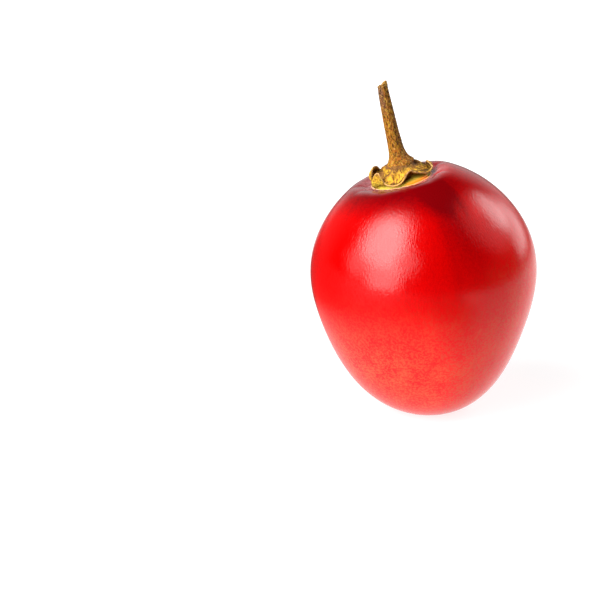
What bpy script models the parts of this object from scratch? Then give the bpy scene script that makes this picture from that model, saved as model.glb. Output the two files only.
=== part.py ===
"""A whole ripe tamarillo as picked: the berry, its dried calyx and its stalk.

Metres, +Z up. The origin is on the surface that the fruit rests on, under the middle of the berry.
The front is -Y, and the stalk leans towards -X.
"""

import math

import bmesh
import bpy
from mathutils import Matrix, Vector

MM = 0.001
GAP = 0.3 * MM  # between pieces that touch

# Berry: the way from its middle to its skin is its radius, times 1 plus a share of each power of
# the cosine of the angle from its stalk end
BERRY_RADIUS = 26.6 * MM
BERRY_SHAPE = ((1, 0.124), (3, -0.183), (4, 0.167))
BERRY_LEAN = math.radians(8)
BERRY_SAG = 0.06  # of the radius, how much fuller the underside is away from the lean
BERRY_OVAL = 0.004  # of the radius, so that the berry isn't perfectly round
MIDDLE_HEIGHT = 31.0 * MM  # above the surface, low enough to press a flat spot 15 mm wide
MIDDLE_SHIFT = 0.4 * MM  # along X, so that the berry's box is even over the origin
FLAT_SNAP = 0.02 * MM  # points this near to the flat spot are moved onto it
RIBS = 5
RIB_RELIEF = 0.006  # of the radius, faint and only over the shoulder
RIB_TURN = math.radians(8)
RIB_FADE = 0.6  # the cosine, from the stalk end, at which the ribs reach their full relief

# Stalk seat: the round pale spot, sunk in the shoulder, that the calyx covers
SEAT_PLACE = math.radians(13.4)  # how far round the berry from its top it lies
SEAT_LEAN = math.radians(14.5)
SEAT_HEIGHT = 25.8 * MM  # from the middle of the berry
SEAT_RADIUS = 7.8 * MM
LIP_WIDTH = 0.7 * MM
LIP_FRONT = 0.2 * MM  # how far the red skin stands up round the seat
LIP_BACK = 0.9 * MM
SHOULDER_REACH = 14.0 * MM  # where the sunken shoulder has run out into the egg

# Calyx: a dried star of five lobes round a boss that carries the stalk
BOSS_RADIUS = 3.3 * MM
BOSS_HEIGHT = 4.0 * MM
PLUG_RADIUS = 4.4 * MM  # inside it the calyx is solid down to the seat
LOBE_THICKNESS = 0.65 * MM
WRINKLES = 17
WRINKLE_RELIEF = 0.16 * MM
WRINKLE_DRIFT = 3  # how unevenly the wrinkles are spread
# An azimuth in degrees, then the reach and height of the lobe's fold and of its edge in millimetres.
# The upper side is a curve that leaves the boss towards the fold and comes to the edge from it.
CALYX_EDGE = (
    (5, 6.3, -0.4, 6.9, 2.9),  # right lobe, its tip curled up
    (30, 5.4, 1.9, 6.4, 2.0),
    (60, 6.0, 2.7, 7.2, 1.0),  # far right lobe, lying down
    (90, 4.9, 2.3, 6.1, 2.6),
    (125, 6.0, 2.7, 7.2, 1.0),  # far left lobe, lying down
    (155, 5.0, 2.0, 6.2, 2.7),
    (185, 8.4, -2.0, 4.9, 4.8),  # left lobe, standing and rolled in
    (207, 7.3, -0.4, 6.0, 3.2),
    (226, 6.2, 1.4, 6.2, 4.0),  # second fold of the left lobe
    (246, 5.9, 2.6, 7.0, 1.1),
    (266, 6.3, 3.1, 7.3, 0.95),  # front lobe, lying down
    (292, 4.8, 2.7, 6.1, 3.4),
    (322, 5.6, 1.8, 6.9, 2.0),
    (346, 6.3, 0.3, 7.4, 1.4),
)

# Stalk: a tapering rod that straightens upwards, with a flared foot and a snapped end
STALK_LENGTH = 18.7 * MM
STALK_FOOT_RADIUS = 2.95 * MM
STALK_LOW_RADIUS = 1.75 * MM
STALK_TOP_RADIUS = 1.1 * MM
STALK_FLARE = 1.2 * MM  # height over which the foot narrows to a third of its flare
STALK_SHIFT = 0.45 * MM  # to the right of the middle of the seat
STALK_FOOT_SHIFT = 0.1 * MM  # the foot spreads more to the right
STALK_STRAIGHTEN = math.radians(3)  # how much its lean eases on the way up
STALK_RIBS = 5
STALK_RIB_RELIEF = 0.05  # of the radius
STALK_RIB_TWIST = math.radians(85)
SNAP_RISE = 0.55 * MM  # the snapped end is higher on the right
SNAP_NOTCH = 0.35 * MM
SNAP_NOTCH_PLACE = -0.15  # share of the radius to the right of the middle
SNAP_NOTCH_WIDTH = 0.2  # share of the radius

# Faces round each piece and from one end to the other, and what some of the rows are for
BERRY_GRID = (64, 42)
CALYX_GRID = (80, 18)
STALK_GRID = (26, 24)
SEAT_ROWS = 4
CALYX_UPPER_ROWS = 10
STALK_END_ROWS = 2
BERRY_ROW_CROWDING = 1.25  # above 1, the rows are closer together at the seat
STALK_ROW_CROWDING = 1.35  # the same, at the foot
SHARP_ANGLE = math.radians(40)


def smooth(share):
    """0 up to 0, 1 from 1, and an S curve between."""
    share = min(max(share, 0.0), 1.0)
    return share * share * (3 - 2 * share)


def mix(low, high, share):
    return low + (high - low) * share


def leaning(angle):
    """The turn that leans +Z towards -X."""
    return Matrix.Rotation(-angle, 3, "Y")


def around(turn, reach, height):
    return Vector((reach * math.cos(turn), reach * math.sin(turn), height))


def clear_scene():
    for obj in list(bpy.data.objects):
        bpy.data.objects.remove(obj)


def material(name, colour, roughness):
    made = bpy.data.materials.new(name)
    made.use_nodes = True
    shader = made.node_tree.nodes["Principled BSDF"]
    shader.inputs["Base Color"].default_value = (*colour, 1.0)
    shader.inputs["Roughness"].default_value = roughness
    shader.inputs["Metallic"].default_value = 0.0
    return made


def press_flat(shape, level):
    """Cuts off what is below the level and closes the cut with one face."""
    for vert in shape.verts:
        if abs(vert.co.z - level) < FLAT_SNAP:
            vert.co.z = level
    everything = shape.verts[:] + shape.edges[:] + shape.faces[:]
    bmesh.ops.bisect_plane(
        shape, geom=everything, plane_co=(0, 0, level), plane_no=(0, 0, -1), clear_outer=True
    )
    rim = [edge for edge in shape.edges if edge.is_boundary]
    bmesh.ops.contextual_create(shape, geom=rim)


def moulded(name, grid, surface, finish, flat_at=None):
    """A closed piece made of a ball, each of whose points is moved to surface(turn, row).

    turn is the angle about the piece's own +Z, and row counts from 0 at the top pole to the last.
    flat_at is the level of the flat spot that the piece rests on.
    """
    segments, rows = grid
    shape = bmesh.new()
    bmesh.ops.create_uvsphere(shape, u_segments=segments, v_segments=rows, radius=1.0)
    for vert in shape.verts:
        turn = math.atan2(vert.co.y, vert.co.x) % math.tau
        polar = math.acos(min(max(vert.co.z, -1.0), 1.0))
        vert.co = surface(turn, round(polar / math.pi * rows))
    if flat_at is not None:
        press_flat(shape, flat_at)
    bmesh.ops.recalc_face_normals(shape, faces=shape.faces)
    mesh = bpy.data.meshes.new(name)
    shape.to_mesh(mesh)
    shape.free()
    mesh.shade_smooth()
    mesh.set_sharp_from_angle(angle=SHARP_ANGLE)
    mesh.materials.append(finish)
    obj = bpy.data.objects.new(name, mesh)
    bpy.context.scene.collection.objects.link(obj)
    return obj


def berry_middle():
    return Vector((MIDDLE_SHIFT, 0, MIDDLE_HEIGHT))


def seat_centre():
    """The middle of the seat, from the middle of the berry."""
    return leaning(SEAT_PLACE) @ Vector((0, 0, SEAT_HEIGHT))


def egg_point(direction):
    """Where a ray from the middle of the upright berry leaves it. The ray is a unit vector."""
    across = math.hypot(direction.x, direction.y)
    turn = math.atan2(direction.y, direction.x)
    rib = RIB_RELIEF * math.cos(RIBS * (turn - RIB_TURN)) * smooth(direction.z / RIB_FADE)
    underside = (2 * across * min(direction.z, 0.0)) ** 2
    reach = 1 + sum(share * direction.z**power for power, share in BERRY_SHAPE)
    reach += (BERRY_OVAL * math.cos(2 * turn) - rib) * across
    reach += BERRY_SAG * underside * (1 - math.cos(turn)) / 2
    return direction * (BERRY_RADIUS * reach)


def berry_surface(turn, row):
    """A point of the berry, from its middle: the flat seat, its lip, then the leaning egg."""
    seat_turn = leaning(SEAT_LEAN)
    if row <= SEAT_ROWS:
        return seat_centre() + seat_turn @ around(turn, SEAT_RADIUS * row / SEAT_ROWS, 0.0)
    lip_angle = math.atan2(SEAT_RADIUS + LIP_WIDTH, SEAT_HEIGHT)
    first = SEAT_ROWS + 1
    share = (row - first) / (BERRY_GRID[1] - first)
    polar = mix(lip_angle, math.pi, share**BERRY_ROW_CROWDING)
    ray = leaning(SEAT_PLACE) @ around(turn, math.sin(polar), math.cos(polar))
    egg = leaning(BERRY_LEAN) @ egg_point(leaning(-BERRY_LEAN) @ ray)
    if egg.z < 0:
        return egg
    from_seat = seat_turn.inverted() @ (egg - seat_centre())
    reach = math.hypot(from_seat.x, from_seat.y)
    run_out = smooth((reach - SEAT_RADIUS) / (SHOULDER_REACH - SEAT_RADIUS))
    lip = mix(LIP_FRONT, LIP_BACK, (1 + math.sin(turn)) / 2)
    from_seat.z = mix(lip, from_seat.z, run_out)
    return seat_centre() + seat_turn @ from_seat


def edge_at(turn):
    """Reach and height of the calyx's fold and edge at an azimuth, eased between the listed ones."""
    azimuth = math.degrees(turn) % 360
    passed = [row for row in CALYX_EDGE if row[0] <= azimuth]
    before = passed[-1] if passed else CALYX_EDGE[-1]
    after = CALYX_EDGE[len(passed) % len(CALYX_EDGE)]
    span = (after[0] - before[0]) % 360
    share = smooth(((azimuth - before[0]) % 360) / span)
    return [mix(low, high, share) * MM for low, high in zip(before[1:], after[1:])]


def lobe_point(turn, share):
    """The upper side of the calyx from its boss to its edge, and the way that side faces.

    Both are (reach, height).
    """
    fold_reach, fold_height, edge_reach, edge_height = edge_at(turn)
    boss = Vector((BOSS_RADIUS, BOSS_HEIGHT))
    fold = Vector((fold_reach, fold_height))
    edge = Vector((edge_reach, edge_height))
    rest = 1 - share
    point = boss * rest * rest + fold * 2 * share * rest + edge * share * share
    along = ((fold - boss) * rest + (edge - fold) * share).normalized()
    facing = Vector((-along.y, along.x))
    wrinkle = math.cos(WRINKLES * turn + WRINKLE_DRIFT * math.sin(2 * turn))
    return point + facing * WRINKLE_RELIEF * wrinkle * math.sin(math.pi * share), facing


def calyx_surface(turn, row):
    """A point of the calyx: over the boss, out along the lobe, back underneath and to the plug."""
    last = CALYX_GRID[1]
    if row == 0:
        return around(turn, 0.0, BOSS_HEIGHT)
    if row == last:
        return around(turn, 0.0, GAP)
    if row <= CALYX_UPPER_ROWS:
        point, _ = lobe_point(turn, (row - 1) / (CALYX_UPPER_ROWS - 1))
        return around(turn, point.x, max(point.y, GAP + LOBE_THICKNESS))
    share = 1 - (row - CALYX_UPPER_ROWS - 1) / (last - CALYX_UPPER_ROWS)
    point, facing = lobe_point(turn, share)
    under = point - facing * LOBE_THICKNESS
    if under.x < PLUG_RADIUS:
        return around(turn, under.x, GAP)
    return around(turn, under.x, max(under.y, GAP))


def stalk_surface(turn, row):
    """A point of the stalk: the snapped top, down the side, then the flat foot."""
    side_rows = STALK_GRID[1] - 2 * STALK_END_ROWS
    share = 1 - min(max((row - STALK_END_ROWS) / side_rows, 0.0), 1.0)
    inward = min(min(row, STALK_GRID[1] - row) / STALK_END_ROWS, 1.0)
    height = STALK_LENGTH * share**STALK_ROW_CROWDING
    flare = math.exp(-height / STALK_FLARE)
    rib = 1 + STALK_RIB_RELIEF * math.cos(STALK_RIBS * turn + STALK_RIB_TWIST * share)
    reach = mix(STALK_LOW_RADIUS, STALK_TOP_RADIUS, height / STALK_LENGTH)
    reach = (reach + (STALK_FOOT_RADIUS - STALK_LOW_RADIUS) * flare) * rib * inward
    if row <= STALK_END_ROWS:
        side = math.cos(turn) * inward
        notch = math.exp(-(((side - SNAP_NOTCH_PLACE) / SNAP_NOTCH_WIDTH) ** 2))
        height += SNAP_RISE * side - SNAP_NOTCH * notch
    bend = STALK_STRAIGHTEN * height / STALK_LENGTH
    axis = Vector((height * bend / 2 + STALK_FOOT_SHIFT * flare, 0, height))
    return axis + Matrix.Rotation(bend, 3, "Y") @ around(turn, reach, 0.0)


def seat_empty():
    """Stands on the middle of the seat, along its axis, and carries the calyx and the stalk."""
    seat = bpy.data.objects.new("stalk_seat", None)
    seat.location = berry_middle() + seat_centre()
    seat.rotation_euler = (0, -SEAT_LEAN, 0)
    bpy.context.scene.collection.objects.link(seat)
    return seat


def build():
    clear_scene()
    berry_skin = material("tamarillo skin", (0.62, 0.012, 0.018), 0.32)
    dry_calyx = material("dried calyx", (0.36, 0.24, 0.06), 0.75)
    stalk_bark = material("stalk bark", (0.27, 0.16, 0.05), 0.80)

    berry = moulded("berry", BERRY_GRID, berry_surface, berry_skin, flat_at=-MIDDLE_HEIGHT)
    berry.location = berry_middle()
    seat = seat_empty()
    calyx = moulded("calyx", CALYX_GRID, calyx_surface, dry_calyx)
    calyx.parent = seat
    stalk = moulded("stalk", STALK_GRID, stalk_surface, stalk_bark)
    stalk.parent = seat
    stalk.location = (STALK_SHIFT, 0, BOSS_HEIGHT + GAP)


build()
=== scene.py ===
"""The looks of a ripe tamarillo: its skin, its dried calyx and its stalk, on a white studio stage."""

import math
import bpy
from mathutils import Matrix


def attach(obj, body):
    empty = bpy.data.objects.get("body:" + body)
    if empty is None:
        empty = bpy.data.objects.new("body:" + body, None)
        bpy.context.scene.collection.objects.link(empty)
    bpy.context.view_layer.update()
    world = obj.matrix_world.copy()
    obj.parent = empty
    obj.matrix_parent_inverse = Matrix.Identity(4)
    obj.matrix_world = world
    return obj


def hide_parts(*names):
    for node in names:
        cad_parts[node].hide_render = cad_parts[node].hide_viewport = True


bl_info = {
    "name": "Tamarillo looks",
    "version": (1, 0, 0),
    "blender": (4, 5, 0),
    "location": "3D View > Sidebar > Tamarillo",
    "description": "Adds the skin, the calyx and the stalk of a tamarillo, and a stage for them",
    "category": "Object",
}

import bpy
from bpy.props import FloatProperty, FloatVectorProperty, PointerProperty
from bpy.types import Operator, Panel, PropertyGroup
from mathutils import Matrix, Vector, noise

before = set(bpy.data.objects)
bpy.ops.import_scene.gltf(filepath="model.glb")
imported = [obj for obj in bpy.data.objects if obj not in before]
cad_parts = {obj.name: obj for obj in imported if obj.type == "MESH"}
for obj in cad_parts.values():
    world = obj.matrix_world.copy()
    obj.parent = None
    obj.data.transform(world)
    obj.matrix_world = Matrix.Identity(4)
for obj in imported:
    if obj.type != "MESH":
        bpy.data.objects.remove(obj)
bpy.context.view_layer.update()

MM = 0.001  # lengths are in metres, and those inside a recipe in millimetres

# Places on the frame, as the solids have them
BERRY_MIDDLE = Vector((0.4, 0, 31.0)) * MM
BERRY_LEAN = math.radians(8)
SEAT_PLACE = math.radians(13.4)
SEAT_LEAN = math.radians(14.5)
SEAT_HEIGHT = 25.8 * MM  # from the middle of the berry
LIP_RADIUS = 8.5 * MM
STALK_FOOT = 4.3 * MM  # above the seat
STALK_LENGTH = 18.7 * MM


def leaning(angle):
    """The turn that leans +Z towards -X."""
    return Matrix.Rotation(-angle, 3, "Y")


SEAT_TURN = leaning(SEAT_LEAN)
ON_SEAT = (0, -SEAT_LEAN, 0)  # the same turn, for a new shape
SEAT_MIDDLE = BERRY_MIDDLE + leaning(SEAT_PLACE) @ Vector((0, 0, SEAT_HEIGHT))
MERGE_GAP = 0.002 * MM
SHARP_ANGLE = math.radians(50)  # edges up to this are shaded smooth


def smooth(low, high, value):
    """0 up to low, 1 from high, and an S curve between. low may be the larger one."""
    share = min(max((value - low) / (high - low), 0.0), 1.0)
    return share * share * (3 - 2 * share)


def bell(value, middle, half_width):
    return math.exp(-(((value - middle) / half_width) ** 2))


def turn_from(turn, azimuth):
    """How far a turn in radians is past an azimuth in degrees, from -pi to pi."""
    return (turn - math.radians(azimuth) + math.pi) % math.tau - math.pi


def seat_axes(point):
    return SEAT_TURN.inverted() @ (point - SEAT_MIDDLE)


def about_seat(point):
    """The reach from the seat's axis, the turn about it and the height over the seat."""
    local = seat_axes(point)
    return math.hypot(local.x, local.y), math.atan2(local.y, local.x), local.z


def over_seat(reach, turn, height):
    return SEAT_MIDDLE + SEAT_TURN @ Vector((reach * math.cos(turn), reach * math.sin(turn), height))


def grain(point, size, stretch=1.0):
    """Noise from 0 to 1, drawn out along the seat's axis."""
    local = seat_axes(point)
    return 0.5 + 0.5 * noise.noise(Vector((local.x, local.y, local.z / stretch)) / size)


# Modelling


def only(piece):
    """Makes the piece the one object that the operators act on."""
    bpy.ops.object.select_all(action="DESELECT")
    piece.select_set(True)
    bpy.context.view_layer.objects.active = piece


def new_shape(add, **settings):
    """Adds a primitive with nothing else selected, and puts its place into its mesh."""
    bpy.ops.object.select_all(action="DESELECT")
    add(**settings)
    bpy.ops.object.transform_apply(location=True, rotation=True, scale=True)
    return bpy.context.object


def joined(piece, other):
    """Makes the other shape a part of the piece."""
    only(piece)
    other.select_set(True)
    bpy.ops.object.join()


def copy_of(node, name):
    """A new piece in the shape of a CAD node, its doubles merged and its triangles joined in pairs."""
    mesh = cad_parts[node].data.copy()
    mesh.name = name
    mesh.materials.clear()
    piece = bpy.data.objects.new(name, mesh)
    bpy.context.scene.collection.objects.link(piece)
    only(piece)
    bpy.ops.mesh.customdata_custom_splitnormals_clear()
    bpy.ops.object.mode_set(mode="EDIT")
    bpy.ops.mesh.select_all(action="SELECT")
    bpy.ops.mesh.remove_doubles(threshold=MERGE_GAP)
    bpy.ops.mesh.mark_sharp(clear=True)
    bpy.ops.mesh.tris_convert_to_quads(face_threshold=math.pi, shape_threshold=math.pi)
    bpy.ops.object.mode_set(mode="OBJECT")
    return piece


def select_faces(piece, wanted):
    """Selects the faces that wanted(middle, normal) says, and stays in edit mode."""
    only(piece)
    bpy.ops.object.mode_set(mode="EDIT")
    bpy.ops.mesh.select_mode(type="FACE")
    bpy.ops.mesh.select_all(action="DESELECT")
    bpy.ops.object.mode_set(mode="OBJECT")
    for face in piece.data.polygons:
        face.select = wanted(face.center, face.normal)
    bpy.ops.object.mode_set(mode="EDIT")


def modified(piece, kind, **settings):
    """Adds a modifier with these settings and applies it."""
    only(piece)
    added = piece.modifiers.new(kind.lower(), kind)
    for name, value in settings.items():
        setattr(added, name, value)
    bpy.ops.object.modifier_apply(modifier=added.name)


def subdivided(piece, levels):
    modified(piece, "SUBSURF", levels=levels, render_levels=levels)


def raised(piece, height, share_at):
    """Moves the surface out by height times the share, from 0 to 1, that share_at(point) gives."""
    group = piece.vertex_groups.new(name="share")
    for vert in piece.data.vertices:
        group.add([vert.index], min(max(share_at(vert.co), 0.0), 1.0), "REPLACE")
    modified(piece, "DISPLACE", mid_level=0.0, strength=height, vertex_group=group.name)
    piece.vertex_groups.remove(piece.vertex_groups["share"])


def finished(piece, finish, node):
    """Smooths the shading, gives the finish, puts the piece under the root body and hides the CAD node that
    it replaces.
    """
    only(piece)
    bpy.ops.object.shade_smooth_by_angle(angle=SHARP_ANGLE)
    piece.data.materials.append(finish)
    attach(piece, "root")
    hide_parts(node)


# Materials


class Strand:
    """One value of a recipe. The signs + - * / ** between strands and numbers add Math nodes."""

    def __init__(self, recipe, socket):
        self.recipe = recipe
        self.socket = socket

    def __add__(self, other):
        return self.recipe.maths("ADD", self, other)

    __radd__ = __add__

    def __sub__(self, other):
        return self.recipe.maths("SUBTRACT", self, other)

    def __rsub__(self, other):
        return self.recipe.maths("SUBTRACT", other, self)

    def __mul__(self, other):
        return self.recipe.maths("MULTIPLY", self, other)

    __rmul__ = __mul__

    def __truediv__(self, other):
        return self.recipe.maths("DIVIDE", self, other)

    def __pow__(self, other):
        return self.recipe.maths("POWER", self, other)


class Recipe:
    """The nodes of one material or of the world."""

    def __init__(self, tree):
        self.tree = tree
        tree.nodes.clear()

    def node(self, kind, settings=None, values=None, output=0):
        """Adds a node, with its settings and then the values or strands of its sockets."""
        made = self.tree.nodes.new(kind)
        for name, value in (settings or {}).items():
            setattr(made, name, value)
        for socket, value in (values or {}).items():
            if isinstance(value, Strand):
                self.tree.links.new(value.socket, made.inputs[socket])
            else:
                made.inputs[socket].default_value = value
        return Strand(self, made.outputs[output]) if made.outputs else made

    def maths(self, operation, *values):
        return self.node("ShaderNodeMath", {"operation": operation}, dict(enumerate(values)))

    def axes(self, origin, lean):
        """The place in millimetres from an origin, in axes whose +Z leans towards -X."""
        place = self.node("ShaderNodeTexCoord", output="Object")
        values = {"Vector": place, "Location": origin, "Rotation": (0, -lean, 0), "Scale": (MM, MM, MM)}
        return self.node("ShaderNodeMapping", {"vector_type": "TEXTURE"}, values)

    def parts(self, vector):
        split = self.node("ShaderNodeSeparateXYZ", values={0: vector}).socket.node
        return [Strand(self, socket) for socket in split.outputs]

    def vector(self, x, y, z):
        return self.node("ShaderNodeCombineXYZ", values={0: x, 1: y, 2: z})

    def drawn(self, out_x, out_y, along, rates):
        """Axes for noise on a round piece, with its rates of change round the piece and along it."""
        return self.vector(out_x * rates[0], out_y * rates[0], along * rates[1])

    def round_about(self, vector):
        """For axes: the reach from +Z, the two parts of the way outwards, and the height."""
        x, y, height = self.parts(vector)
        reach = (x * x + y * y) ** 0.5
        return reach, x / reach, y / reach, height

    def ease(self, value, low, high):
        """0 up to low, 1 from high, and an S curve between. low may be the larger one."""
        ends = {1: low, 2: high, 3: 0.0, 4: 1.0}
        if low > high:
            ends = {1: high, 2: low, 3: 1.0, 4: 0.0}
        return self.node("ShaderNodeMapRange", {"interpolation_type": "SMOOTHSTEP"}, {0: value, **ends})

    def band(self, value, middle, half_width):
        """1 at the middle, 0 from a half width away."""
        return self.ease(self.maths("ABSOLUTE", value - middle), half_width, 0.0)

    def blend(self, share, first, second):
        """The first colour where the share is 0, and the second where it is 1."""
        settings = {"data_type": "RGBA", "clamp_factor": True}
        return self.node("ShaderNodeMix", settings, {0: share, 6: rgba(first), 7: rgba(second)}, output=2)

    def cloud(self, vector, size, detail=2.0, roughness=0.5):
        """Noise from 0 to 1, its lumps about a size apart."""
        values = {"Vector": vector, "Scale": 1 / size, "Detail": detail, "Roughness": roughness}
        return self.node("ShaderNodeTexNoise", values=values)

    def bump(self, height, depth):
        return self.node("ShaderNodeBump", values={"Height": height, "Distance": depth})

    def seen_by_camera(self):
        """1 for what the camera sees directly, and 0 for the light that it gives."""
        return self.node("ShaderNodeLightPath", output="Is Camera Ray")

    def finish(self, **values):
        """The shader of a surface, its sockets named with _ for a space."""
        sockets = {name.replace("_", " "): value for name, value in values.items()}
        shader = self.node("ShaderNodeBsdfPrincipled", values=sockets)
        self.node("ShaderNodeOutputMaterial", values={"Surface": shader})


def rgba(value):
    return value if isinstance(value, Strand) else (*value[:3], 1.0)


def material(name):
    made = bpy.data.materials.new(name)
    made.use_nodes = True
    return made, Recipe(made.node_tree)


def tint(name, description, default):
    return FloatVectorProperty(
        name=name, description=description, subtype="COLOR", size=3, min=0.0, max=1.0, default=default
    )


def length(name, description, default):
    """A length whose default is in millimetres."""
    return FloatProperty(name=name, description=description, unit="LENGTH", default=default * MM)


def factor(name, description, default):
    return FloatProperty(
        name=name, description=description, subtype="FACTOR", min=0.0, max=1.0, default=default
    )


# Berry


class BerrySettings(PropertyGroup):
    red: tint("Red", "Ripe red of the sides", (0.39, 0.0, 0.0))
    # crimson also paints the dark stripe down the front, which is partly painted shade
    crimson: tint("Crimson", "Darker red of the shoulder and of the dark stripe", (0.12, 0.0, 0.001))
    # scarlet: partly the skin's own lighter red, partly painted light from the floor below
    scarlet: tint("Scarlet", "Lighter red of the lower half", (1.0, 0.006, 0.008))
    orange: tint("Orange", "Mottling of the lower half", (1.0, 0.20, 0.07))
    green: tint("Seat green", "Yellow-green skin of the seat", (0.45, 0.33, 0.035))
    leaf: tint("Seat leaf", "Greener parts of the seat", (0.27, 0.25, 0.02))
    glow: tint("Seat orange", "Orange patch of the seat", (0.95, 0.27, 0.008))
    cream: tint("Scar cream", "Corky line round the seat", (0.92, 0.50, 0.27))
    scuff: tint("Scuff", "Greyish bloom on the shoulder round the seat", (0.40, 0.14, 0.15))
    roughness: factor("Roughness", "Roughness of the waxy skin", 0.17)
    grain_depth: length("Grain depth", "Depth of the fine lengthwise grain", 0.024)
    crease_depth: length("Crease depth", "Depth of the puckers round the seat", 0.3)
    wave_depth: length("Wave depth", "Height of the broad unevenness of the skin", 0.2)


# Azimuth and half width in degrees about the seat, and the share of the full depth
CREASES = (
    (22, 5, 1.0),
    (52, 7, 0.5),
    (96, 6, 0.7),
    (138, 8, 0.5),
    (176, 6, 0.9),
    (201, 5, 0.7),
    (244, 8, 0.35),
    (302, 7, 0.45),
    (338, 5, 0.8),
)
CREASE_REACH = 13.5 * MM
CREASE_DROP = -6 * MM  # how far under the seat the creases may reach
SCAR_RADIUS = 7.05 * MM  # the corky line
SCAR_WIDTH = 0.22 * MM
SCAR_HEIGHT = 0.12 * MM
CUSHION_RADIUS = 6.5 * MM  # the raised skin under the calyx
CUSHION_HEIGHT = 1.5 * MM
BLOSSOM = Vector((4.6, 0, 0)) * MM  # the small scar underneath
BLOSSOM_RADIUS = 0.9 * MM
BLOSSOM_DEPTH = 0.35 * MM
WAVE_SIZE = 13 * MM
WAVE_START = 12 * MM  # the waves grow up to this height over the flat spot

# Azimuths and half widths about the berry's axis, from +X
# The dark stripe is partly the skin's own darker streak and partly painted shade, between the light from the
# left and the soft lights on the right
STREAK_AND_SHADE_TURN = math.radians(-74.5)  # a dark stripe down the front
STREAK_AND_SHADE_WIDTH = math.radians(21)
STREAK_AND_SHADE_DRIFT = 0.14  # its turn for each radian down the side
# Painted light: the side facing the soft lights on the right, where the lighter red is painted higher up and
# the shoulder lighter
LIT_SIDE_TURN = math.radians(-5)  # the side where the lighter red reaches higher
LIT_SIDE_WIDTH = math.radians(75)
LIT_SIDE_RISE = 0.7  # radians
GLOW_TURN = math.radians(-52)  # the orange patch, about the seat's axis

# Spans in radians down from the stalk end: where a finish is absent, and where it is full
SCARLET_SPAN = (1.1, 2.25)
MOTTLE_SPAN = (1.3, 2.3)
STREAK_AND_SHADE_SPAN = (1.6, 0.5)
SHOULDER_SPAN = (0.82, 0.46)
GRAIN_SPAN = (0.35, 0.7)

# How fast the noise changes round the berry, and down it
STREAKS = (9, 1.6)
GRAINS = (75, 26)

# Sizes of the pattern in millimetres
FRECKLE = 0.6
PATCH = 5.0
RIPPLE = 0.45
SCUFF_REACH = 5.5  # past the corky line
SCAR_FADE = 0.34
GLOW_INSET = 0.35
GLOW_FADE = 0.9
SEAT_SIDE = (-7.0, -5.0)  # heights over the seat that keep its colours off the rest of the berry


def crease_share(point):
    reach, turn, height = about_seat(point)
    if reach > CREASE_REACH or height < CREASE_DROP:
        return 0.0
    fade = smooth(SCAR_RADIUS, LIP_RADIUS, reach) * smooth(CREASE_REACH, LIP_RADIUS, reach)
    return fade * sum(
        share * bell(turn_from(turn, azimuth), 0.0, math.radians(half_width))
        for azimuth, half_width, share in CREASES
    )


def scar_share(point):
    reach, turn, height = about_seat(point)
    if height < CREASE_DROP:
        return 0.0
    return bell(reach, SCAR_RADIUS, SCAR_WIDTH) * (0.6 + 0.4 * math.sin(7 * turn + 2 * math.sin(3 * turn)))


def blossom_share(point):
    return bell((point - BLOSSOM).length, 0.0, BLOSSOM_RADIUS)


def wave_share(point):
    return smooth(0.0, WAVE_START, point.z) * grain(point, WAVE_SIZE, stretch=1.6)


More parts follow.
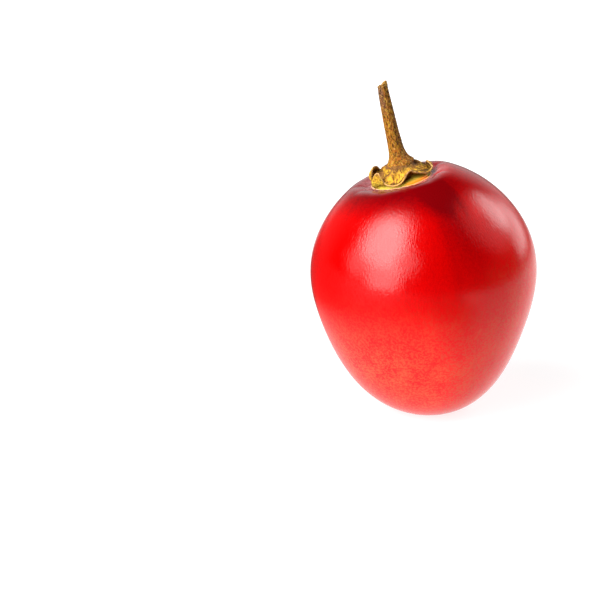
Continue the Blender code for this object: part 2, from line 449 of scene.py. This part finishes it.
def skin_finish(look):
    made, mix = material("tamarillo skin")
    body = mix.axes(BERRY_MIDDLE, BERRY_LEAN)
    wide, out_x, out_y, up = mix.round_about(body)
    polar = mix.maths("ARCTAN2", wide, up)  # down from the stalk end
    turn = mix.maths("ARCTAN2", out_y, out_x)

    # ripeness and painted light: crimson shoulder, red sides and a scarlet lower half, the scarlet partly the
    # skin's own and partly painted light from the floor below, painted higher up and with a lighter shoulder
    # on the side facing the soft lights on the right
    streaks = mix.cloud(mix.drawn(out_x, out_y, polar, STREAKS), 1.0, 3.0)
    lit_side = mix.band(turn, LIT_SIDE_TURN, LIT_SIDE_WIDTH)
    ripe_and_lit = polar + lit_side * LIT_SIDE_RISE
    skin = mix.blend(mix.ease(ripe_and_lit, *SCARLET_SPAN), look.red, look.scarlet)
    # the dark stripe down the front: partly the skin's own streak, partly painted shade where neither the
    # left nor the right lights reach
    streak_and_shade = mix.band(turn - polar * STREAK_AND_SHADE_DRIFT + (streaks - 0.5) * 0.2, STREAK_AND_SHADE_TURN, STREAK_AND_SHADE_WIDTH)
    shoulder = mix.ease(polar + (streaks - 0.5) * 0.15, *SHOULDER_SPAN)
    freckles = mix.ease(mix.cloud(body, FRECKLE, 1.0, 0.7), 0.4, 0.65)
    # the shoulder's crimson is painted lighter on the side lit from the right, as painted light
    dark = streak_and_shade * mix.ease(polar, *STREAK_AND_SHADE_SPAN) * 0.85 + shoulder * (0.95 - lit_side * 0.55)
    dark = dark + mix.ease(streaks, 0.5, 0.75) * 0.1 + freckles * 0.14
    skin = mix.blend(dark, skin, look.crimson)

    # orange mottling of the lower half
    mottle = mix.ease(mix.cloud(body, FRECKLE, 2.0, 0.8), 0.42, 0.6)
    patchy = mix.ease(mix.cloud(body, PATCH, 2.0), 0.4, 0.65)
    skin = mix.blend(mix.ease(ripe_and_lit, *MOTTLE_SPAN) * (mottle * 0.25 + patchy * 0.1), skin, look.orange)

    # the seat: scuffed border, yellow-green skin under the calyx, orange patch and corky line
    seat = mix.axes(SEAT_MIDDLE, SEAT_LEAN)
    reach, seat_x, seat_y, height = mix.round_about(seat)
    ragged = reach + (mix.cloud(seat, 1.5, 3.0) - 0.5) * 0.5
    above = mix.ease(height, *SEAT_SIDE)
    edge = SCAR_RADIUS / MM
    scuff = mix.ease(ragged, edge + SCUFF_REACH, edge + 0.3) * above
    scuff = scuff * mix.ease(mix.cloud(seat, 2.5, 4.0, 0.6), 0.3, 0.7)
    skin = mix.blend(scuff * 0.75, skin, look.scuff)
    seat_green = mix.blend(mix.ease(mix.cloud(seat, 1.1, 3.0), 0.4, 0.65) * 0.6, look.green, look.leaf)
    skin = mix.blend(mix.ease(ragged, edge + 0.25, edge) * above, skin, seat_green)
    glow_side = seat_x * math.cos(GLOW_TURN) + seat_y * math.sin(GLOW_TURN)
    glow = mix.ease(glow_side, 0.8, 0.94) * mix.band(ragged, edge - GLOW_INSET, GLOW_FADE) * above
    skin = mix.blend(glow, skin, look.glow)
    scar = mix.band(ragged, edge, SCAR_FADE) * above
    skin = mix.blend(scar * (1 - glow * 0.6), skin, look.cream)

    # waxy, and duller on the seat, the line and the scuffs
    seat_skin = mix.ease(ragged, edge + 0.3, edge) * above
    roughness = look.roughness + seat_skin * 0.3 + scuff * 0.18 + scar * 0.3
    roughness = roughness + (mix.cloud(body, 2.5) - 0.5) * 0.08
    ripples = mix.cloud(mix.drawn(out_x, out_y, polar, GRAINS), 1.0, 0.0) + mix.cloud(body, RIPPLE, 0.0) * 0.7
    normal = mix.bump(ripples * mix.ease(polar, *GRAIN_SPAN), look.grain_depth)
    mix.finish(Base_Color=skin, Roughness=roughness, Specular_IOR_Level=0.26, Normal=normal)
    return made


class TAMARILLO_OT_berry(Operator):
    """Adds the skin over the solid berry"""

    bl_idname = "tamarillo.berry"
    bl_label = "Berry"

    def execute(self, context):
        look = context.scene.tamarillo_berry
        skin = copy_of("berry", "berry_skin")
        subdivided(skin, 2)
        raised(skin, -look.crease_depth, crease_share)
        raised(skin, SCAR_HEIGHT, scar_share)
        raised(skin, -look.wave_depth, wave_share)
        raised(skin, -BLOSSOM_DEPTH, blossom_share)
        cushion = new_shape(
            bpy.ops.mesh.primitive_uv_sphere_add,
            segments=96,
            ring_count=32,
            radius=CUSHION_RADIUS,
            location=SEAT_MIDDLE,
            rotation=ON_SEAT,
            scale=(1, 1, CUSHION_HEIGHT / CUSHION_RADIUS),
        )
        joined(skin, cushion)
        finished(skin, skin_finish(look), "berry")
        return {"FINISHED"}


# Calyx


class CalyxSettings(PropertyGroup):
    # the yellow is painted cleaner on the front lobe's bulge, partly as a painted highlight
    yellow: tint("Yellow", "Dry yellow of the bulging lobes", (0.556, 0.3, 0.02))
    olive: tint("Olive", "Greener parts of the lobes and their underside", (0.375, 0.277, 0.027))
    ochre: tint("Ochre", "Between the yellow and the brown", (0.39, 0.165, 0.02))
    brown: tint("Brown", "Brown of the veins and folds", (0.12, 0.045, 0.006))
    cream: tint("Cream", "Pale corky margin of the lobes", (0.495, 0.285, 0.106))
    bark: tint("Bark", "Brown of the boss, as on the stalk", (0.17, 0.066, 0.02))
    # dark also paints the shade in the fold inside the margin and in the curled hollow of the right lobe
    dark: tint("Dark", "Dark specks", (0.038, 0.015, 0.004))
    thickness: length("Thickness", "Thickness of the dried lobes", 0.3)
    wrinkle_depth: length("Wrinkle depth", "Height of the wrinkles between boss and margin", 0.34)
    crumple_depth: length("Crumple depth", "Depth of the uneven hollows", 0.45)
    pucker_depth: length("Pucker depth", "Height of the fine puckers", 0.22)


# Where the lobes leave the boss: a reach from the seat's axis and a height over the seat, in millimetres
BOSS_RIM = (2.5, 4.2)

# Each row is an azimuth in degrees and three such places: two that bend the lobe on its way out from the
# boss, and one on its margin
LOBES = (
    (6, 4.8, 2.6, 8.8, 0.8, 6.6, 2.75),  # tip of the right lobe, curled up
    (14, 4.6, 3.4, 6.8, 1.6, 6.7, 2.1),
    (25, 4.4, 4.1, 5.6, 2.8, 6.5, 1.9),
    (40, 4.4, 3.8, 5.2, 3.0, 6.3, 2.4),
    (60, 4.6, 4.1, 6.2, 1.4, 7.2, 1.0),  # far right lobe, lying down
    (76, 4.6, 3.9, 6.2, 1.4, 7.0, 1.1),
    (95, 4.3, 3.6, 5.2, 2.9, 6.0, 2.7),
    (112, 4.5, 3.6, 6.0, 2.0, 6.6, 1.7),
    (128, 4.6, 3.6, 5.8, 2.2, 6.2, 2.2),  # far left lobe
    (142, 4.6, 3.2, 5.8, 2.3, 5.5, 3.0),
    (154, 4.4, 2.4, 6.8, 1.9, 5.0, 3.7),
    (165, 4.4, 1.8, 7.8, 1.5, 4.9, 4.2),
    (175, 4.4, 1.4, 8.4, 1.4, 5.1, 4.4),  # left lobe, standing and rolled in
    (186, 4.4, 1.0, 8.4, 0.8, 6.0, 4.0),
    (193, 4.8, 2.0, 6.4, 0.6, 7.2, 0.7),
    (206, 4.6, 1.6, 7.9, -0.6, 6.8, 2.8),
    (222, 4.6, 2.0, 7.5, -0.8, 6.4, 4.0),  # its front half, folded up to a point
    (229, 4.6, 2.4, 7.0, 0.0, 6.6, 2.7),
    (237, 4.7, 3.6, 6.2, 0.6, 6.75, 1.4),
    (246, 5.0, 4.4, 6.0, 0.3, 6.85, 0.95),
    (258, 5.2, 4.7, 6.0, 0.2, 6.95, 0.8),  # front lobe, bulging
    (268, 5.0, 4.5, 6.0, 0.5, 7.0, 1.15),
    (276, 4.7, 3.8, 5.9, 1.6, 6.8, 2.0),
    (285, 4.5, 3.4, 5.5, 2.8, 6.4, 2.8),
    (294, 4.4, 3.3, 5.4, 3.1, 6.45, 3.1),
    (303, 4.5, 3.5, 5.6, 2.7, 6.55, 2.4),
    (315, 4.6, 3.6, 5.8, 2.2, 6.8, 1.8),
    (332, 4.8, 3.5, 6.1, 1.5, 7.25, 1.1),
    (346, 4.8, 3.1, 6.5, 0.8, 7.45, 1.2),
    (357, 4.9, 2.6, 7.6, 0.2, 7.5, 1.7),
)
SPOKES = 220  # points round each ring
RINGS = 18  # rings from the boss to the margin
VEINS = 21
VEIN_DRIFT = 2.2  # how unevenly they are spaced
WRINKLE_REACH = 4.2 * MM  # the wrinkles and the hollows are at their full depth from here outwards
CRUMPLE_REACH = 4.5 * MM
WRINKLE_PATCH = 2.4 * MM
CRUMPLE_SIZE = 1.3 * MM
PUCKER_SIZE = 0.75 * MM
PUCKER_PATCH = 2.0 * MM
MARGIN_START = 0.75  # share of the way out
NIBBLE = 0.7 * MM  # size of the margin's nibbles
RAGGED = 0.3 * MM  # their depth
PLUG_LOW = 4.9 * MM  # the middle of the calyx, that the star lies on: its radii and heights
PLUG_HIGH = 3.4 * MM
PLUG_TOP = 3.6 * MM
PLUG_FOOT = 0.3 * MM
PLUG_OUT = 1.6  # coloured as the underside
FRONT_TURN = math.radians(258)  # the middle of the bulging front lobe

# Sizes of the calyx's pattern in millimetres
BLOTCH = 1.3
GREENER = 1.6
FINE = 0.5
SPECK = 0.45
PIT = 0.3
WRINKLE = 0.14

# Places on the way out, from 0 at the boss to 1 at the margin and on to 2 on the underside
BOSS_SPAN = (0.48, 0.2)  # where its bark colour is absent, and where it is full
PIT_SPAN = (0.7, 0.2)
UNDER_SPAN = (1.02, 1.08)
# the front lobe's bulge: partly its own yellow, partly a painted highlight where the light falls
BULGE_AND_HIGHLIGHT_AT = 0.55
BULGE_AND_HIGHLIGHT_WIDTH = 0.4
# painted shade: a dark line where the fold inside the margin lies in shade
FOLD_SHADE_AT = 0.82  # the dark fold inside the margin
FOLD_SHADE_WIDTH = 0.1
# painted shade inside the curled tip of the right lobe
TIP_SHADE_AT = 0.76  # the dark hollow of the right lobe
TIP_SHADE_WIDTH = 0.2
MARGIN_WIDTH = 0.028
VEIN_RATES = (7, 1.3)  # how fast the veins' noise changes round the calyx, and on the way out
OLIVE_SPAN = (2.6, 0.8)  # heights over the seat, in millimetres, of the greener low parts


def lobe_row(turn):
    """The row of LOBES at a turn, on a smooth curve through the listed ones, without its azimuth."""
    azimuth = math.degrees(turn) % 360
    count = len(LOBES)
    passed = sum(row[0] <= azimuth for row in LOBES)
    rows = [LOBES[(passed + step) % count] for step in (-2, -1, 0, 1)]
    gaps = [(after[0] - before[0]) % 360 for before, after in zip(rows, rows[1:])]
    share = ((azimuth - rows[1][0]) % 360) / gaps[1]
    values = []
    for before, low, high, after in zip(*(row[1:] for row in rows)):
        rise = (high - before) / (gaps[0] + gaps[1]) * gaps[1]
        fall = (after - low) / (gaps[1] + gaps[2]) * gaps[1]
        cube, square = share**3, share**2
        values.append(
            low * (2 * cube - 3 * square + 1)
            + rise * (cube - 2 * square + share)
            + high * (3 * square - 2 * cube)
            + fall * (cube - square)
        )
    return values


def lobe_point(turn, share):
    """The reach and height of the calyx at a turn and a share of the way from boss to margin."""
    row = lobe_row(turn)
    left = 1 - share
    weights = (left**3, 3 * share * left**2, 3 * share**2 * left, share**3)
    places = (BOSS_RIM, row[0:2], row[2:4], row[4:6])
    return [sum(weight * place[part] for weight, place in zip(weights, places)) * MM for part in (0, 1)]


def lobe_sheet(name):
    """A sheet from the boss to the margin, extruded ring by ring from a circle."""
    sheet = new_shape(
        bpy.ops.mesh.primitive_circle_add,
        vertices=SPOKES,
        radius=BOSS_RIM[0] * MM,
        location=over_seat(0.0, 0.0, BOSS_RIM[1] * MM),
        rotation=ON_SEAT,
    )
    sheet.name = sheet.data.name = name
    sheet.data.attributes.new("out", "FLOAT", "POINT")
    for ring in range(1, RINGS + 1):
        share = ring / RINGS
        bpy.ops.object.mode_set(mode="EDIT")
        bpy.ops.mesh.extrude_edges_move()
        bpy.ops.object.mode_set(mode="OBJECT")
        out = sheet.data.attributes["out"]
        for vert in sheet.data.vertices:
            if not vert.select:
                continue
            turn = about_seat(vert.co)[1]
            reach, height = lobe_point(turn, share)
            vert.co = over_seat(reach, turn, height)
            out.data[vert.index].value = share
    bpy.ops.object.mode_set(mode="EDIT")
    bpy.ops.mesh.select_all(action="SELECT")
    bpy.ops.mesh.flip_normals()
    bpy.ops.object.mode_set(mode="OBJECT")
    return sheet


def wrinkle_share(point):
    reach, turn, _ = about_seat(point)
    spread = smooth(BOSS_RIM[0] * MM, WRINKLE_REACH, reach)
    wave = 0.5 + 0.5 * math.cos(VEINS * turn + VEIN_DRIFT * math.sin(3 * turn + 1) + reach / MM)
    return spread * wave * grain(point, WRINKLE_PATCH)


def crumple_share(point):
    spread = smooth(BOSS_RIM[0] * MM, CRUMPLE_REACH, about_seat(point)[0])
    return smooth(0.3, 0.7, grain(point, CRUMPLE_SIZE)) * spread


def pucker_share(point):
    return grain(point, PUCKER_SIZE) * grain(point, PUCKER_PATCH)


def ragged_margin(sheet):
    """Brings the margin back to its place after the wrinkles, and nibbles at the outermost ring."""
    for vert, out in zip(sheet.data.vertices, sheet.data.attributes["out"].data):
        held = smooth(MARGIN_START, 1.0, out.value)
        if held == 0:
            continue
        turn = about_seat(vert.co)[1]
        reach, height = lobe_point(turn, out.value)
        vert.co = vert.co.lerp(over_seat(reach, turn, height), held)
        if out.value > 1 - 0.5 / RINGS:
            vert.co.x += (grain(vert.co, NIBBLE) - 0.5) * RAGGED
            vert.co.z += (grain(vert.co * 1.7, NIBBLE) - 0.5) * RAGGED


def turned_under(star):
    """Counts the underside's way on from the margin, from 1 there to 2 under the boss."""
    shell = star.vertex_groups["under"].index
    for vert, out in zip(star.data.vertices, star.data.attributes["out"].data):
        if any(entry.group == shell for entry in vert.groups):
            out.value = 2 - out.value


def calyx_finish(look):
    made, mix = material("dried calyx")
    seat = mix.axes(SEAT_MIDDLE, SEAT_LEAN)
    _, out_x, out_y, height = mix.round_about(seat)
    out = mix.node("ShaderNodeAttribute", {"attribute_name": "out"}, output="Fac")
    blotch = mix.cloud(seat, BLOTCH, 4.0, 0.65)
    fine = mix.cloud(seat, FINE, 3.0, 0.8)
    veins = mix.cloud(mix.drawn(out_x, out_y, out, VEIN_RATES), 0.38, 3.0, 0.7)

    # upper side: yellow where it bulges, the front lobe's bulge painted cleaner yellow, partly its own colour
    # and partly a painted highlight, drying to ochre and brown, and bark-coloured at the boss
    front = out_x * math.cos(FRONT_TURN) + out_y * math.sin(FRONT_TURN)
    bulge_and_highlight = mix.ease(front, 0.75, 0.98) * mix.band(out, BULGE_AND_HIGHLIGHT_AT, BULGE_AND_HIGHLIGHT_WIDTH)
    drying = blotch + (veins - 0.5) * 2.2 + (fine - 0.5) * 1.2 - bulge_and_highlight * 0.15
    greener = mix.ease(mix.cloud(seat, GREENER, 2.0), 0.45, 0.65) * (1 - bulge_and_highlight)
    upper = mix.blend(mix.ease(drying, 0.3, 0.5), look.yellow, look.ochre)
    upper = mix.blend(greener * 0.7, upper, look.olive)
    upper = mix.blend(mix.ease(drying, 0.5, 0.62) * 0.95, upper, look.brown)
    upper = mix.blend(mix.ease(out + (blotch - 0.5) * 0.4, *BOSS_SPAN) * 0.85, upper, look.bark)
    pits = mix.ease(mix.cloud(seat, PIT, 3.0, 0.8), 0.5, 0.6) * mix.ease(out, *PIT_SPAN)
    upper = mix.blend(pits * 0.75, upper, look.dark)
    # painted shade of the fold inside the margin
    fold_shade = mix.band(out + (fine - 0.5) * 0.08, FOLD_SHADE_AT, FOLD_SHADE_WIDTH)
    fold_shade = fold_shade * mix.ease(mix.cloud(seat, 1.0), 0.35, 0.5)
    upper = mix.blend(fold_shade * 0.85, upper, look.dark)
    # painted shade in the curled hollow of the right lobe
    hollow_shade = mix.ease(out_x, 0.9, 0.96) * mix.band(out, TIP_SHADE_AT, TIP_SHADE_WIDTH)
    upper = mix.blend(hollow_shade * 0.85, upper, look.dark)

    # underside: brown and yellow, and greener low down
    low = mix.ease(height + (blotch - 0.5) * 2, *OLIVE_SPAN)
    lower = mix.blend(mix.ease(fine, 0.36, 0.57), look.brown, look.yellow)
    lower = mix.blend(low * 0.9, lower, look.olive)
    leaf = mix.blend(mix.ease(out, *UNDER_SPAN), upper, lower)

    specks = mix.ease(mix.cloud(seat, SPECK, 2.0, 0.6), 0.56, 0.65)
    leaf = mix.blend(specks * (0.8 - bulge_and_highlight * 0.3), leaf, look.brown)
    margin = mix.band(out + (fine - 0.5) * 0.06, 1.0, MARGIN_WIDTH) * mix.ease(fine, 0.36, 0.52)
    leaf = mix.blend(margin, leaf, look.cream)

    relief = fine + veins * 0.8 + mix.cloud(seat, WRINKLE, 3.0, 0.6) * 0.5
    mix.finish(
        Base_Color=leaf,
        Roughness=0.55 + fine * 0.3,
        Specular_IOR_Level=0.15,
        Normal=mix.bump(relief, 0.2 * MM),
    )
    return made


class TAMARILLO_OT_calyx(Operator):
    """Adds the dried five-lobed calyx in place of its solid"""

    bl_idname = "tamarillo.calyx"
    bl_label = "Calyx"

    def execute(self, context):
        look = context.scene.tamarillo_calyx
        star = lobe_sheet("calyx_star")
        raised(star, look.wrinkle_depth, wrinkle_share)
        raised(star, -look.crumple_depth, crumple_share)
        ragged_margin(star)
        star.vertex_groups.new(name="under")
        modified(star, "SOLIDIFY", thickness=look.thickness, offset=-1, shell_vertex_group="under")
        turned_under(star)
        subdivided(star, 1)
        raised(star, look.pucker_depth, pucker_share)
        plug = new_shape(
            bpy.ops.mesh.primitive_cone_add,
            vertices=48,
            radius1=PLUG_LOW,
            radius2=PLUG_HIGH,
            depth=PLUG_TOP - PLUG_FOOT,
            location=over_seat(0.0, 0.0, (PLUG_TOP + PLUG_FOOT) / 2),
            rotation=ON_SEAT,
        )
        for entry in plug.data.attributes.new("out", "FLOAT", "POINT").data:
            entry.value = PLUG_OUT
        joined(star, plug)
        finished(star, calyx_finish(look), "calyx")
        return {"FINISHED"}


# Stalk


class StalkSettings(PropertyGroup):
    brown: tint("Brown", "Brown of the bark", (0.305, 0.094, 0.009))
    olive: tint("Olive", "Yellow-green lights of the bark", (0.416, 0.215, 0.013))
    dark: tint("Dark", "Pits and furrows", (0.041, 0.013, 0.004))
    purple: tint("Purple", "Purplish grey near the snapped end", (0.139, 0.069, 0.049))
    pale: tint("Pale", "Dry fibres and flecks", (0.554, 0.319, 0.076))
    pit_depth: length("Pit depth", "Depth of the pits", 0.10)
    furrow_depth: length("Furrow depth", "Depth of the lengthwise furrows", 0.16)
    root_height: length("Root height", "Height of the ridges that run out of the foot", 0.35)
    swell: length("Swell", "How much stouter the stalk is made before its furrows are cut", 0.15)


ROOTS = (5, 72, 118, 262, 318)  # azimuths in degrees of the ridges at the foot
ROOT_WIDTH = math.radians(17)
ROOT_FADE = 1.3 * MM  # they fade out over about this height
UNDERSIDE_GAP = 0.3 * MM  # faces that look down, up to this above the foot, are its underside
SKIRT_DROP = 0.55 * MM  # the foot goes on down into the calyx
SKIRT_SPREAD = 1.08  # its share of the foot's width
STALK_TOP = STALK_FOOT + STALK_LENGTH
STALK_END = STALK_TOP - 2.0 * MM  # the snapped end is above this
FURROW_SIZE = 0.55 * MM
PIT_SIZE = 0.3 * MM
FIBRE_SIZE = 0.28 * MM
FIBRE_HEIGHT = 0.25 * MM
FIBRES_FROM = STALK_TOP - 1.1 * MM
FIBRES_FULL = STALK_TOP - 0.5 * MM

# Sizes and places of the bark's pattern in millimetres, its heights over the seat
LIGHT = 0.4
FLECK = 0.36
BARK_PIT = 0.38
ROUGH = 0.16
LINES_ALONG = 0.4  # how fast the noise of the lines changes along the stalk, next to across it
SPECKS_ALONG = 0.5
PURPLE_SPAN = (15.0, 21.0)
PURPLE_SIDE = (1.2, 0.3)
PALE_SPAN = (22.2, 22.7)


def swell_share(point):
    return smooth(STALK_TOP, STALK_END, about_seat(point)[2])


def root_share(point):
    _, turn, height = about_seat(point)
    fade = math.exp(-max(height - STALK_FOOT, 0.0) / ROOT_FADE)
    return fade * sum(bell(turn_from(turn, root), 0.0, ROOT_WIDTH) for root in ROOTS)


def furrow_share(point):
    turn = about_seat(point)[1]
    return grain(point, FURROW_SIZE, stretch=7.0) * (0.6 + 0.4 * math.cos(5 * turn))


def pit_share(point):
    return smooth(0.52, 0.75, grain(point, PIT_SIZE, stretch=1.8))


def fibre_share(point):
    return smooth(FIBRES_FROM, FIBRES_FULL, about_seat(point)[2]) * grain(point, FIBRE_SIZE, stretch=0.6)


def bark_finish(look):
    made, mix = material("stalk bark")
    seat = mix.axes(SEAT_MIDDLE, SEAT_LEAN)
    x, y, height = mix.parts(seat)
    lined = mix.vector(x, y, height * LINES_ALONG)
    specked = mix.vector(x, y, height * SPECKS_ALONG)

    lights = mix.ease(mix.cloud(lined, LIGHT, 3.0, 0.8), 0.46, 0.6)
    bark = mix.blend(lights * 0.9, look.brown, look.olive)
    high = mix.ease(height + (mix.cloud(seat, 3.0) - 0.5) * 6, *PURPLE_SPAN)
    bark = mix.blend(high * mix.ease(x, *PURPLE_SIDE) * 0.8, bark, look.purple)
    flecks = mix.ease(mix.cloud(specked, FLECK, 2.0, 0.7), 0.56, 0.66)
    bark = mix.blend(flecks * 0.85, bark, look.pale)
    lines = mix.ease(mix.cloud(lined, FLECK, 2.0, 0.6), 0.46, 0.36)
    bark = mix.blend(lines * 0.8, bark, look.dark)
    pits = mix.ease(mix.cloud(specked, BARK_PIT, 2.0, 0.7), 0.53, 0.63)
    bark = mix.blend(pits * 0.8, bark, look.dark)
    end = mix.ease(height, *PALE_SPAN) * mix.ease(mix.cloud(seat, LIGHT), 0.45, 0.6)
    bark = mix.blend(end * 0.7, bark, look.pale)

    relief = lights * 0.5 + mix.cloud(specked, ROUGH, 3.0, 0.6) - pits * 0.6
    mix.finish(
        Base_Color=bark,
        Roughness=0.6 + pits * 0.3,
        Specular_IOR_Level=0.12,
        Normal=mix.bump(relief, 0.18 * MM),
    )
    return made


class TAMARILLO_OT_stalk(Operator):
    """Adds the woody stalk in place of its solid"""

    bl_idname = "tamarillo.stalk"
    bl_label = "Stalk"

    def execute(self, context):
        look = context.scene.tamarillo_stalk
        wood = copy_of("stalk", "stalk_wood")
        down = SEAT_TURN @ Vector((0, 0, -1))
        under = STALK_FOOT + UNDERSIDE_GAP
        select_faces(wood, lambda middle, normal: normal.dot(down) > 0.9 and about_seat(middle)[2] < under)
        bpy.ops.mesh.extrude_region_move(TRANSFORM_OT_translate={"value": down * SKIRT_DROP})
        bpy.ops.transform.resize(value=[SKIRT_SPREAD] * 3)
        bpy.ops.object.mode_set(mode="OBJECT")
        select_faces(
            wood, lambda middle, normal: normal.dot(down) < -0.5 and about_seat(middle)[2] > STALK_END
        )
        bpy.ops.mesh.region_to_loop()
        bpy.ops.transform.edge_crease(value=1.0)
        bpy.ops.object.mode_set(mode="OBJECT")
        subdivided(wood, 2)
        raised(wood, look.swell, swell_share)
        raised(wood, look.root_height, root_share)
        raised(wood, -look.furrow_depth, furrow_share)
        raised(wood, -look.pit_depth, pit_share)
        raised(wood, FIBRE_HEIGHT, fibre_share)
        finished(wood, bark_finish(look), "stalk")
        return {"FINISHED"}


# Stage


class StageSettings(PropertyGroup):
    floor_colour: tint("Floor", "Pale floor", (0.2, 0.2, 0.2))
    floor_glow: factor("Floor glow", "Light that the white floor gives to the fruit", 1.0)
    floor_white: factor("Floor white", "Light that the white floor gives to the camera", 0.82)
    floor_size: FloatProperty(name="Floor size", description="Side of the floor", unit="LENGTH", default=5.0)
    light: FloatProperty(name="Light", description="Strength of all the soft lights together", default=1.0)
    ambient: factor("Ambient", "Brightness of the room between the lights", 0.01)
    camera_place: FloatVectorProperty(
        name="Camera place",
        description="Where the camera stands",
        subtype="TRANSLATION",
        size=3,
        default=(-0.0292, -0.3779, 0.1494),
    )
    camera_pitch: FloatProperty(
        name="Camera pitch",
        description="Its turn up from straight down",
        subtype="ANGLE",
        default=math.radians(72),
    )
    lens: FloatProperty(name="Lens", description="Focal length in millimetres", default=100.0)


# Each light's azimuth (0 is the front, 90 the right) and elevation, the half widths of its even middle and
# of its soft edge, all in degrees, and its strength
SOFT_LIGHTS = (
    (-60, 41, 5, 30, 14.5),  # a large soft box at the left
    (-48, 60, 5, 18, 2.5),  # its upper end
    (-46, 8, 7, 24, 7.5),  # its lower end, nearer the front
    (-77, 16, 5, 18, 3.0),
    (-30, 28, 5, 22, 4.0),
    (118, 35, 5, 18, 6.2),  # a smaller one at the right
    (126, 13, 5, 22, 3.2),
    (96, 40, 8, 28, 1.2),
    (173, 8, 15, 45, 0.63),  # behind
    (-150, 14, 15, 45, 0.17),
)
FLOOR_FRONT = -0.28  # the floor ends between the fruit and the camera
FLOOR_GAP = 0.02 * MM  # under the fruit
CAMERA_WHITE = 1.05  # brightness of the surroundings to the camera
CLIP_START = 0.01

# Millimetres on the floor from the middle of the fruit
WHITE_SPAN = (60.0, 400.0)  # from the floor's own white to pure white
RIGHT_SPAN = (0.0, 55.0)  # from the left side of the floor to the right one
FAR_GLOW = (450.0, 150.0)  # where the light from the floor begins, and where it is full
NEAR_GLOW = (110.0, 40.0)
LEFT_GLOW = (85.0, 30.0)


def way_to(azimuth, elevation):
    turn, rise = math.radians(azimuth), math.radians(elevation)
    return Vector((math.sin(turn) * math.cos(rise), -math.cos(turn) * math.cos(rise), math.sin(rise)))


def studio_world(look):
    """White to the camera, and for the light on the fruit large soft lights in a dim room."""
    world = bpy.data.worlds.new("studio")
    world.use_nodes = True
    bpy.context.scene.world = world
    mix = Recipe(world.node_tree)
    way = mix.node("ShaderNodeTexCoord", output="Generated")
    room = look.ambient
    for azimuth, elevation, core, edge, strength in SOFT_LIGHTS:
        ways = {0: way, 1: way_to(azimuth, elevation)}
        towards = mix.node("ShaderNodeVectorMath", {"operation": "DOT_PRODUCT"}, ways, output="Value")
        lit = mix.ease(towards, math.cos(math.radians(edge)), math.cos(math.radians(core)))
        room = lit * (strength * look.light) + room
    strength = room + mix.seen_by_camera() * (CAMERA_WHITE - room)
    shade = mix.node("ShaderNodeBackground", values={"Color": (1, 1, 1, 1), "Strength": strength})
    mix.node("ShaderNodeOutputWorld", values={"Surface": shade})


def floor_finish(look):
    """White to the camera, and for the fruit a glow that is wide on the right and narrow on the left."""
    made, mix = material("white floor")
    seen = mix.seen_by_camera()
    place = mix.axes(Vector(), 0.0)
    x, y, _ = mix.parts(place)
    reach = mix.round_about(place)[0]
    paper = mix.blend(mix.cloud(place, 40.0), look.floor_colour, [part * 1.04 for part in look.floor_colour])
    paper = mix.blend(seen, [part * 0.1 for part in look.floor_colour], paper)
    white = mix.blend(mix.ease(reach, *WHITE_SPAN), [look.floor_white] * 3, (1, 1, 1))
    right = mix.ease(x + y * 0.5, *RIGHT_SPAN)
    right_glow = mix.ease(reach, *FAR_GLOW) * 0.95 + mix.ease(reach, *NEAR_GLOW) * 0.9
    left_glow = mix.ease(reach, *LEFT_GLOW) * 0.85
    lit = right * right_glow + (1 - right) * left_glow
    glow = mix.blend(seen, mix.blend(lit, (0, 0, 0), [look.floor_glow] * 3), white)
    mix.finish(Base_Color=paper, Roughness=0.6, Emission_Color=glow, Emission_Strength=1.0)
    return made


class TAMARILLO_OT_stage(Operator):
    """Adds the floor, the lights, the white surroundings and the camera"""

    bl_idname = "tamarillo.stage"
    bl_label = "Stage"

    def execute(self, context):
        look = context.scene.tamarillo_stage
        floor = new_shape(
            bpy.ops.mesh.primitive_plane_add,
            size=look.floor_size,
            location=(0, look.floor_size / 2 + FLOOR_FRONT, -FLOOR_GAP),
        )
        floor.name = floor.data.name = "floor"
        floor.data.materials.append(floor_finish(look))
        studio_world(look)
        bpy.ops.object.camera_add(location=look.camera_place, rotation=(look.camera_pitch, 0, 0))
        camera = bpy.context.object
        camera.data.lens = look.lens
        camera.data.clip_start = CLIP_START
        context.scene.camera = camera
        context.scene.view_settings.view_transform = "Standard"
        return {"FINISHED"}


# Panel


PARTS = ("berry", "calyx", "stalk", "stage")
SETTINGS = (BerrySettings, CalyxSettings, StalkSettings, StageSettings)


class TAMARILLO_PT_looks(Panel):
    """Lists the pieces of the tamarillo and its stage"""

    bl_label = "Tamarillo"
    bl_space_type = "VIEW_3D"
    bl_region_type = "UI"
    bl_category = "Tamarillo"

    def draw(self, context):
        for part in PARTS:
            box = self.layout.box()
            box.operator(f"tamarillo.{part}")
            settings = getattr(context.scene, f"tamarillo_{part}")
            for name in settings.__annotations__:
                box.prop(settings, name)


CLASSES = (
    *SETTINGS,
    TAMARILLO_OT_berry,
    TAMARILLO_OT_calyx,
    TAMARILLO_OT_stalk,
    TAMARILLO_OT_stage,
    TAMARILLO_PT_looks,
)


def register():
    for made in CLASSES:
        bpy.utils.register_class(made)
    for part, settings in zip(PARTS, SETTINGS):
        setattr(bpy.types.Scene, f"tamarillo_{part}", PointerProperty(type=settings))


def unregister():
    for part in PARTS:
        delattr(bpy.types.Scene, f"tamarillo_{part}")
    for made in reversed(CLASSES):
        bpy.utils.unregister_class(made)


def main():
    register()
    bpy.ops.tamarillo.berry()
    bpy.ops.tamarillo.calyx()
    bpy.ops.tamarillo.stalk()
    bpy.ops.tamarillo.stage()


if __name__ == "__main__":
    main()
